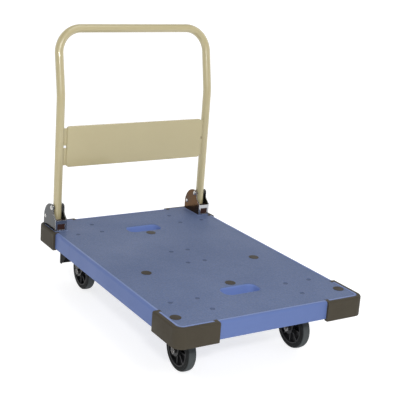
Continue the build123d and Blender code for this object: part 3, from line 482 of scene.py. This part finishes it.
def lathe(work, profile, centre, steps):
    # turns (radius, x) points about an X axis through centre
    rings = []
    for step in range(steps):
        turn = 2 * math.pi * step / steps
        rings.append([work.verts.new((centre.x + x, centre.y + radius * math.cos(turn),
                                      centre.z + radius * math.sin(turn)))
                      for radius, x in profile])
    count = len(profile)
    for here in range(steps):
        there = (here + 1) % steps
        for p in range(count):
            q = (p + 1) % count
            work.faces.new((rings[here][p], rings[here][q], rings[there][q], rings[there][p]))


# ---- tyres: rounded tread with a moulding line, and a shallow step on each wall ----
tyreSet = {
    "seatChamfer": 0.0008,
    "shoulder": 0.0065,
    "shoulderSteps": 6,
    "crown": 0.0007,        # how much the tread bulges in the middle
    "crownEdge": (0.35, 0.32),    # where the bulge flattens, as parts of the crown and of half the width
    "seamHeight": 0.00035,
    "seamHalf": (0.0009, 0.0004),    # half the moulding line's width at its foot and at its top
    "stepRadius": 0.0545,
    "stepDrops": (0.0001, 0.0004),    # how far the wall drops before and after stepRadius
    "steps": 96,
}


def tyreProfile(radius, seat, half):
    # from the seat out along one wall and over half the tread, then the same mirrored
    chamfer = tyreSet["seatChamfer"]
    step = tyreSet["stepRadius"]
    drop, rimDrop = tyreSet["stepDrops"]
    side = [(seat, half - chamfer), (seat + chamfer, half), (step - 0.0022, half),
            (step - 0.0014, half - drop), (step + 0.0006, half - drop), (step + 0.0014, half - rimDrop)]
    shoulder = tyreSet["shoulder"]
    edge = radius - tyreSet["crown"] - shoulder
    for count in range(tyreSet["shoulderSteps"] + 1):
        turn = math.pi / 2 * count / tyreSet["shoulderSteps"]
        side.append((edge + shoulder * math.sin(turn), half - shoulder + shoulder * math.cos(turn)))
    crownPart, widthPart = tyreSet["crownEdge"]
    seamFoot, seamTop = tyreSet["seamHalf"]
    side += [(radius - tyreSet["crown"] * crownPart, half * widthPart),
             (radius - tyreSet["seamHeight"], seamFoot), (radius, seamTop)]
    return side + [(reach, -x) for reach, x in reversed(side)]


def makeTyre(end, side):
    node = f"{end}_{side}_tyre"
    low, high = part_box(node)
    centre = (low + high) / 2
    radius = (high.z - low.z) / 2
    half = (high.x - low.x) / 2
    hubLow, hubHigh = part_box(f"{end}_{side}_hub")
    seat = (hubHigh.z - hubLow.z) / 2
    profile = tyreProfile(radius, seat, half)
    piece = meshPiece(f"tyre_{end}_{side}", lambda work: lathe(work, profile, centre, tyreSet["steps"]),
                      tyreRubber, f"{end}_{side}_wheel")
    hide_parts(node)


for end in ("front", "rear"):
    for side in ("left", "right"):
        makeTyre(end, side)
print("tyres done")


# ---- weld beads that hold the panel's tabs to the legs and to the panel ----
weldSet = {
    "radius": 0.0016,
    "ripple": 0.0035,      # length of one ripple of the bead
    "rippleDepth": 0.22,
    "inset": 0.004,        # the bead stops this far from a tab's ends
    "sides": 10,
    "endSize": 0.35,       # the bead's thickness at its two ends, as a part of the full one
    "tubeRadius": 0.014,
    "legOffset": 0.0125,   # from a leg's middle to the beads on it
    "tabGap": 0.008,
    "lift": 0.0002,
    "panelGap": 0.0003,
}


def addBead(work, x, y, z0, z1):
    sides = weldSet["sides"]
    steps = int((z1 - z0) / (weldSet["ripple"] / 4))
    rings = []
    for step in range(steps + 1):
        z = z0 + (z1 - z0) * step / steps
        swell = 1 + weldSet["rippleDepth"] * math.cos(2 * math.pi * (z - z0) / weldSet["ripple"])
        ends = math.sin(math.pi * step / steps) ** 0.25 if 0 < step < steps else weldSet["endSize"]
        radius = weldSet["radius"] * swell * ends
        rings.append([work.verts.new((x + radius * math.cos(turn), y + radius * math.sin(turn), z))
                      for turn in (2 * math.pi * k / sides for k in range(sides))])
    for here, there in zip(rings, rings[1:]):
        for k in range(sides):
            after = (k + 1) % sides
            work.faces.new((here[k], here[after], there[after], there[k]))
    work.faces.new(rings[0][::-1])
    work.faces.new(rings[-1])


def makeWelds(work):
    low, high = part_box("panel_tabs")
    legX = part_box("handle_tube")[1].x - weldSet["tubeRadius"]
    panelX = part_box("handle_panel")[1].x
    tabHeight = (high.z - low.z - weldSet["tabGap"]) / 2
    for side in (-1, 1):
        for z0 in (low.z, high.z - tabHeight):
            zs = (z0 + weldSet["inset"], z0 + tabHeight - weldSet["inset"])
            for x in (legX - weldSet["legOffset"], panelX + weldSet["panelGap"]):
                addBead(work, side * x, low.y + weldSet["lift"], *zs)


meshPiece("panelWelds", makeWelds, handleCoat, "handle_body")
print("welds done")


# ---- floor, light, camera ----
studioSet = {
    "floor": (0.50, 0.50, 0.50),
    "floorGlow": 0.72,     # keeps the shadows on the sweep faint
    "farGlow": 0.22,       # the sweep is dimmer towards the open end and the left, for contrast
    "glowSide": (0.49, 0.87),    # the direction in which it brightens
    "glowRange": (-4.0, 0.2),
    "floorFlat": 0.6,
    "floorReach": 7.0,     # the round floor turns up into a wall all round here
    "sweepRadius": 3.0,
    "sweepTop": 11.0,
    "sweepSteps": 12,
    "sweepSides": 64,
    "world": 0.30,
    "lightTarget": (0, 0, 0.3),
}
# name, place, size, power
lightSet = [
    ("frontSoftbox", (-0.3, -2.9, 2.2), (0.9, 0.6), 22),
    ("handLamp", (-1.30, -2.35, 1.52), (0.26, 0.16), 34),
    ("topSoftbox", (0.4, -0.6, 3.0), (1.6, 1.6), 18),
    ("backStrip", (0.5, 3.2, 2.2), (2.6, 0.5), 8),
]


def makeSweep():
    reach = studioSet["floorReach"]
    radius = studioSet["sweepRadius"]
    line = [(studioSet["floorFlat"], 0.0), (reach / 2, 0.0)]
    for step in range(studioSet["sweepSteps"] + 1):
        turn = math.pi / 2 * step / studioSet["sweepSteps"]
        line.append((reach + radius * math.sin(turn), radius - radius * math.cos(turn)))
    line.append((reach + radius, studioSet["sweepTop"]))
    sides = studioSet["sweepSides"]
    corners = []
    for r, z in line:
        corners += [(r * math.cos(2 * math.pi * k / sides), r * math.sin(2 * math.pi * k / sides), z)
                    for k in range(sides)]
    faces = [tuple(range(sides))]
    for i in range(len(line) - 1):
        for k in range(sides):
            after = (k + 1) % sides
            faces.append((i * sides + k, (i + 1) * sides + k, (i + 1) * sides + after, i * sides + after))
    mesh = bpy.data.meshes.new("sweep")
    mesh.from_pydata(corners, [], faces)
    for face in mesh.polygons:
        face.use_smooth = True
    sweep = bpy.data.objects.new("sweep", mesh)
    bpy.context.scene.collection.objects.link(sweep)
    finish, tree, shader = newFinish("studioSweep", studioSet["floor"], 0.9, specular=0.1)
    shader.inputs["Emission Color"].default_value = (1, 1, 1, 1)
    where = add(tree, "ShaderNodeSeparateXYZ")
    tree.links.new(coords(tree), where.inputs["Vector"])
    sideX, sideY = studioSet["glowSide"]
    along = calculate(tree, "ADD", calculate(tree, "MULTIPLY", where.outputs["X"], sideX),
                      calculate(tree, "MULTIPLY", where.outputs["Y"], sideY))
    glow = remap(tree, along, *studioSet["glowRange"], studioSet["farGlow"], studioSet["floorGlow"],
                 smooth=True)
    tree.links.new(glow, shader.inputs["Emission Strength"])
    mesh.materials.append(finish)


def areaLight(name, place, target, size, power):
    data = bpy.data.lights.new(name, "AREA")
    data.shape = "RECTANGLE"
    data.size, data.size_y = size
    data.energy = power
    light = bpy.data.objects.new(name, data)
    bpy.context.scene.collection.objects.link(light)
    light.location = place
    light.rotation_euler = (Vector(target) - Vector(place)).to_track_quat("-Z", "Y").to_euler()


def makeStudio():
    makeSweep()
    world = bpy.data.worlds.new("studio")
    bpy.context.scene.world = world
    world.use_nodes = True
    background = world.node_tree.nodes["Background"]
    background.inputs["Color"].default_value = (1, 1, 1, 1)
    background.inputs["Strength"].default_value = studioSet["world"]
    bpy.context.scene.view_settings.view_transform = "Standard"   # plain studio white stays white
    for name, place, size, power in lightSet:
        areaLight(name, place, studioSet["lightTarget"], size, power)


cameraSet = {
    "place": (-1.45307, -2.26145, 1.17984),
    "azimuth": -29.471,
    "elevation": 14.791,
    "roll": 3.295,
    "lens": 81.956,
    "shift": (0.1405, -0.0727),
    "sensor": 36,
    "farEnd": 60,
}


def makeCamera():
    data = bpy.data.cameras.new("camera")
    camera = bpy.data.objects.new("camera", data)
    bpy.context.scene.collection.objects.link(camera)
    azimuth, elevation, roll = (math.radians(cameraSet[k]) for k in ("azimuth", "elevation", "roll"))
    back = Vector((math.sin(azimuth) * math.cos(elevation), -math.cos(azimuth) * math.cos(elevation),
                   math.sin(elevation)))
    level = Vector((math.cos(azimuth), math.sin(azimuth), 0))
    upright = back.cross(level)
    right = level * math.cos(roll) + upright * math.sin(roll)
    up = upright * math.cos(roll) - level * math.sin(roll)
    turn = Matrix((right, up, back)).transposed()
    camera.matrix_world = Matrix.Translation(cameraSet["place"]) @ turn.to_4x4()
    data.lens = cameraSet["lens"]
    data.sensor_width = cameraSet["sensor"]
    data.shift_x, data.shift_y = cameraSet["shift"]
    data.clip_end = cameraSet["farEnd"]
    bpy.context.scene.camera = camera


makeStudio()
makeCamera()
print("studio and camera done")
